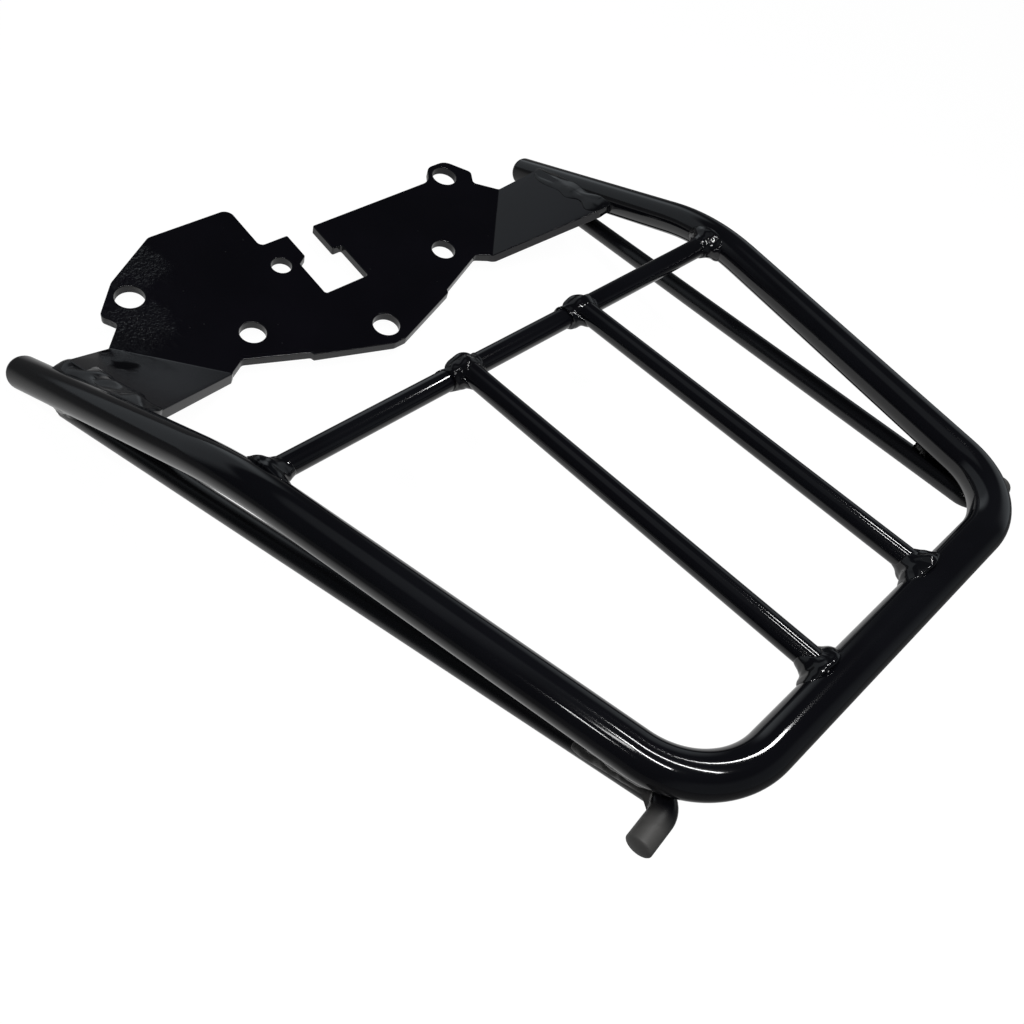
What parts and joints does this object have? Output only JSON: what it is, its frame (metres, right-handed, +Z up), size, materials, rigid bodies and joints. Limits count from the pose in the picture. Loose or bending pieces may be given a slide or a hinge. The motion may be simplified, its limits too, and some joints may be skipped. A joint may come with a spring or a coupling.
{
  "type": "motorcycle luggage rack",
  "caption": "Welded steel rear luggage rack: a tapered tube hoop with rods across it, a folded mounting plate with bolt holes and a latch slot, and strap pegs.",
  "frame": {"origin": "centre of the mounting plate's rear centre hole, on the plate's underside", "axes": "+Z up, out of the plate's top face; +Y to the front of the motorcycle; +X to its right side"},
  "size_m": [0.3302, 0.3721, 0.1328],
  "materials": {
    "tube": "gloss black paint",
    "plate": "gloss black paint",
    "weld": "gloss black paint over lumpy weld beads"
  },
  "bodies": {
    "root": {"hoop": "tube", "end_plug_left": "tube", "end_plug_right": "tube", "cross_rod": "tube", "deck_rod_left": "tube", "deck_rod_right": "tube", "brace_rod_left": "tube", "brace_rod_right": "tube", "mounting_plate": "plate", "weld_cross_left": "weld", "weld_cross_right": "weld", "weld_deck_front_left": "weld", "weld_deck_front_right": "weld", "weld_deck_rear_left": "weld", "weld_deck_rear_right": "weld", "weld_brace_front_left": "weld", "weld_brace_front_right": "weld", "weld_brace_rear_left": "weld", "weld_brace_rear_right": "weld", "weld_wing_left": "weld", "weld_wing_right": "weld"}
  },
  "joints": []
}
